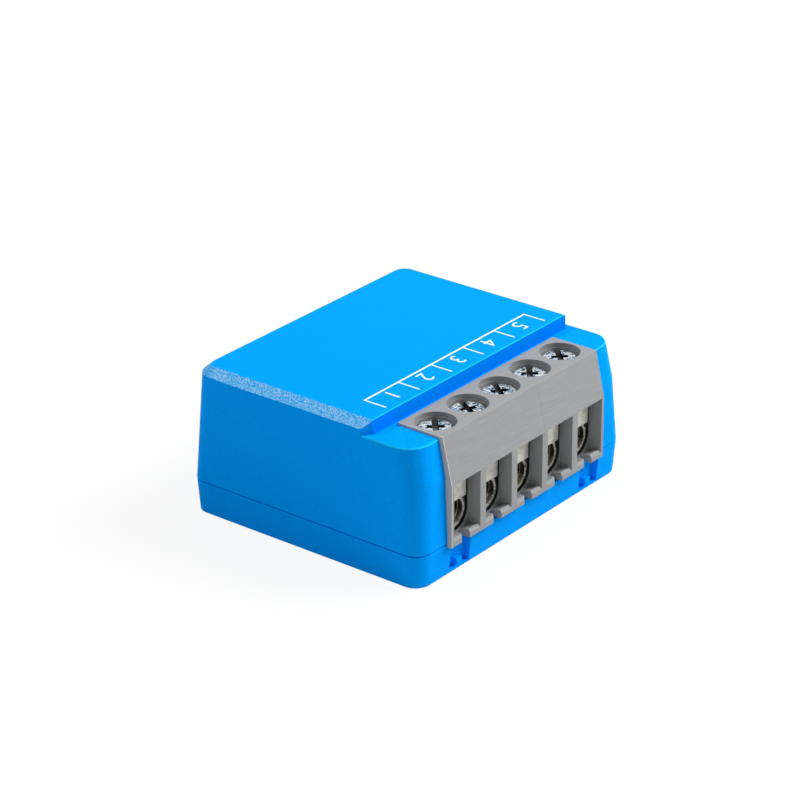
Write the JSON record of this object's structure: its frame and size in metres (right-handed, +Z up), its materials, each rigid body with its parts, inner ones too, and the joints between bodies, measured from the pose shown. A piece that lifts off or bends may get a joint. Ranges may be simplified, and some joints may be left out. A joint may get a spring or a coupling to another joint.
{
  "type": "smart relay module",
  "caption": "Small in-wall smart relay: blue two-piece case with a grey screw terminal block along one side, relay, power supply and radio board inside.",
  "frame": {"origin": "centre of the bounding box at the underside of the base cover", "axes": "+X along the terminal row, +Y away from the wire side, +Z up through the label deck"},
  "size_m": [0.034, 0.0295, 0.016],
  "materials": {
    "case_blue": "fine matte texture, light blue print on the deck",
    "block_grey": "matte",
    "zinc_steel": "bright zinc plate",
    "nickel_brass": "nickel plate worn to brass inside",
    "tinned_copper": "dull tin plate",
    "board_green": "solder mask",
    "relay_plastic": "moulded",
    "bobbin_white": "moulded",
    "coil_copper": "enamelled wire",
    "soft_iron": "plated",
    "spring_bronze": "rolled",
    "contact_silver": "polished",
    "capacitor_sleeve": "shrink sleeve",
    "ferrite": "sintered",
    "varistor_blue": "dipped",
    "resistor_green": "lacquer",
    "chip_black": "moulded",
    "ceramic_tan": "fired",
    "shield_tin": "tin plate",
    "antenna_copper": "gold flash",
    "switch_black": "moulded"
  },
  "bodies": {
    "module": {"upper_shell": "case_blue", "base_cover": "case_blue", "terminal_housing_left": "block_grey", "terminal_housing_right": "block_grey", "main_board": "board_green", "radio_board": "board_green", "relay_case": "relay_plastic", "relay_base": "relay_plastic", "relay_pins": "tinned_copper", "relay_yoke": "soft_iron", "relay_core": "soft_iron", "relay_bobbin": "bobbin_white", "relay_coil": "coil_copper", "fixed_contact": "contact_silver", "storage_capacitor_1": "capacitor_sleeve", "storage_capacitor_2": "capacitor_sleeve", "inductor_core": "ferrite", "inductor_winding": "coil_copper", "varistor": "varistor_blue", "fusible_resistor": "resistor_green", "bridge_rectifier": "chip_black", "power_converter": "chip_black", "chip_components": "ceramic_tan", "shield_can": "shield_tin", "crystal": "shield_tin", "antenna": "antenna_copper", "tact_switch": "switch_black", "terminal_contact_1": "tinned_copper", "terminal_contact_2": "tinned_copper", "terminal_contact_3": "tinned_copper", "terminal_contact_4": "tinned_copper", "terminal_contact_5": "tinned_copper"},
    "armature": {"relay_armature": "soft_iron", "moving_spring": "spring_bronze", "moving_contact": "contact_silver"},
    "button": {"button_cap": "case_blue", "switch_plunger": "switch_black"},
    "screw_1": {"terminal_screw_1": "zinc_steel"},
    "cage_1": {"clamp_cage_1": "nickel_brass"},
    "screw_2": {"terminal_screw_2": "zinc_steel"},
    "cage_2": {"clamp_cage_2": "nickel_brass"},
    "screw_3": {"terminal_screw_3": "zinc_steel"},
    "cage_3": {"clamp_cage_3": "nickel_brass"},
    "screw_4": {"terminal_screw_4": "zinc_steel"},
    "cage_4": {"clamp_cage_4": "nickel_brass"},
    "screw_5": {"terminal_screw_5": "zinc_steel"},
    "cage_5": {"clamp_cage_5": "nickel_brass"}
  },
  "joints": [
    {"name": "screw_turn_1", "type": "hinge", "parent": "module", "child": "screw_1", "pos_m": [-0.01016, -0.01093, 0.0132], "axis": [0, 0, -1], "range_deg": [0, 2001]},
    {"name": "cage_rise_1", "type": "slide", "parent": "module", "child": "cage_1", "axis": [0, 0, 1], "range_m": [0, 0.0025]},
    {"name": "screw_turn_2", "type": "hinge", "parent": "module", "child": "screw_2", "pos_m": [-0.00508, -0.01093, 0.0132], "axis": [0, 0, -1], "range_deg": [0, 2001]},
    {"name": "cage_rise_2", "type": "slide", "parent": "module", "child": "cage_2", "axis": [0, 0, 1], "range_m": [0, 0.0025]},
    {"name": "screw_turn_3", "type": "hinge", "parent": "module", "child": "screw_3", "pos_m": [0, -0.01093, 0.0132], "axis": [0, 0, -1], "range_deg": [0, 2001]},
    {"name": "cage_rise_3", "type": "slide", "parent": "module", "child": "cage_3", "axis": [0, 0, 1], "range_m": [0, 0.0025]},
    {"name": "screw_turn_4", "type": "hinge", "parent": "module", "child": "screw_4", "pos_m": [0.00508, -0.01093, 0.0132], "axis": [0, 0, -1], "range_deg": [0, 2001]},
    {"name": "cage_rise_4", "type": "slide", "parent": "module", "child": "cage_4", "axis": [0, 0, 1], "range_m": [0, 0.0025]},
    {"name": "screw_turn_5", "type": "hinge", "parent": "module", "child": "screw_5", "pos_m": [0.01016, -0.01093, 0.0132], "axis": [0, 0, -1], "range_deg": [0, 2001]},
    {"name": "cage_rise_5", "type": "slide", "parent": "module", "child": "cage_5", "axis": [0, 0, 1], "range_m": [0, 0.0025]},
    {"name": "armature_pull", "type": "hinge", "parent": "module", "child": "armature", "pos_m": [-0.01345, -0.00226, 0.01167], "axis": [0, 1, 0], "range_deg": [0, 3.6], "stiffness_Nm_per_rad": 0.01, "springref_deg": -2.86},
    {"name": "button_press", "type": "slide", "parent": "module", "child": "button", "axis": [-1, 0, 0], "range_m": [0, 0.00025], "stiffness_N_per_m": 2000, "springref_m": -0.0001}
  ],
  "couplings": [
    {"joint": "screw_turn_1", "follows": "cage_rise_1", "rad_per_m": 13963},
    {"joint": "screw_turn_2", "follows": "cage_rise_2", "rad_per_m": 13963},
    {"joint": "screw_turn_3", "follows": "cage_rise_3", "rad_per_m": 13963},
    {"joint": "screw_turn_4", "follows": "cage_rise_4", "rad_per_m": 13963},
    {"joint": "screw_turn_5", "follows": "cage_rise_5", "rad_per_m": 13963}
  ]
}
